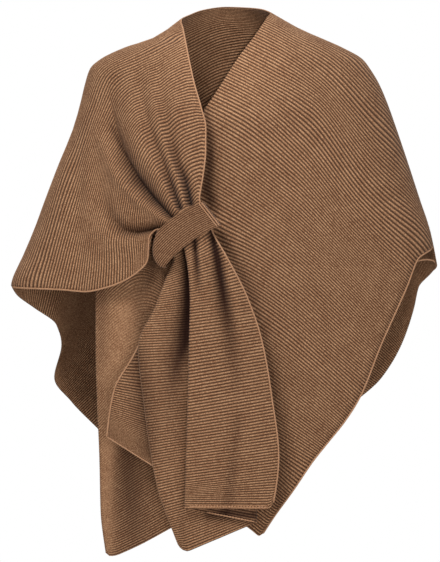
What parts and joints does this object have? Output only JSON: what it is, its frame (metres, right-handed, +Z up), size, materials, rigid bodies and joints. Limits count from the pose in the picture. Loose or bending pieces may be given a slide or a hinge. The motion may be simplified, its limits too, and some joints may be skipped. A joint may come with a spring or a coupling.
{
  "type": "knitted poncho sweater with a pull-through loop front",
  "caption": "Ribbed knit poncho in its worn, hollow form: one front is drawn through a loop band on the other and hangs as a layered tail.",
  "frame": {"origin": "between the shoulder points at the base of the neck, on the overarm line, where the wearer's shoulders hold the garment", "axes": "+X to the wearer's left, +Y to the wearer's back, +Z up"},
  "size_m": [0.6635, 0.2884, 0.8626],
  "materials": {
    "rib_knit": "soft matte melange rib knit",
    "band_knit": "soft matte fine rib knit"
  },
  "bodies": {
    "root": {"back": "rib_knit", "left_front": "rib_knit", "right_front": "rib_knit", "right_front_tail": "rib_knit", "front_loop": "band_knit"}
  },
  "joints": []
}
